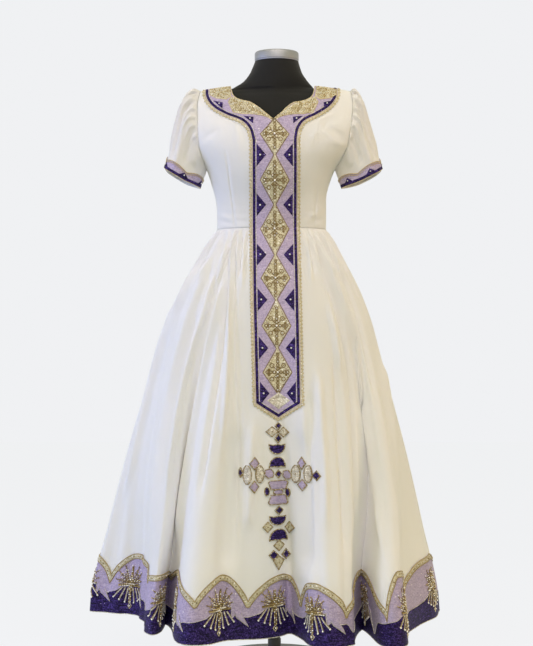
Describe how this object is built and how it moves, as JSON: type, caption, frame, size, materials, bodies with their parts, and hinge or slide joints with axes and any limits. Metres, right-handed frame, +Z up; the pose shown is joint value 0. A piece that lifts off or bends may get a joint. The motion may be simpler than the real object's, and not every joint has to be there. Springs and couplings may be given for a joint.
{
  "type": "habesha kemis dress on a limbless dress form",
  "caption": "Long white Ethiopian dress with purple, lilac and gold woven bands at neck, front, cuffs and hem, standing on a limbless dress form with a pole and round base.",
  "frame": {"origin": "centre of the base plate's underside, on the floor, below the pole", "axes": "+Z up, the wearer faces -Y, +X is the wearer's left, on the right of a front view"},
  "size_m": [0.9073, 0.8547, 1.5815],
  "materials": {
    "white_cloth": "soft sheer white cotton",
    "purple_band": "woven and embroidered purple band",
    "lilac_band": "woven and embroidered lilac band",
    "form_cover": "black jersey cover",
    "cap_metal": "brushed",
    "stand_paint": "satin dark grey paint"
  },
  "bodies": {
    "root": {"bodice_front": "white_cloth", "bodice_back_left": "white_cloth", "bodice_back_right": "white_cloth", "skirt_front": "white_cloth", "skirt_back_left": "white_cloth", "skirt_back_right": "white_cloth", "sleeve_left": "white_cloth", "sleeve_right": "white_cloth", "cuff_left": "purple_band", "cuff_right": "purple_band", "hem_border_front": "purple_band", "hem_border_back_left": "purple_band", "hem_border_back_right": "purple_band", "cross_motif": "purple_band", "neck_yoke_front": "lilac_band", "neck_yoke_back_left": "lilac_band", "neck_yoke_back_right": "lilac_band", "front_strip": "lilac_band", "form_torso": "form_cover", "neck_cap": "cap_metal", "stand_pole": "stand_paint", "stand_base": "stand_paint"}
  },
  "joints": []
}
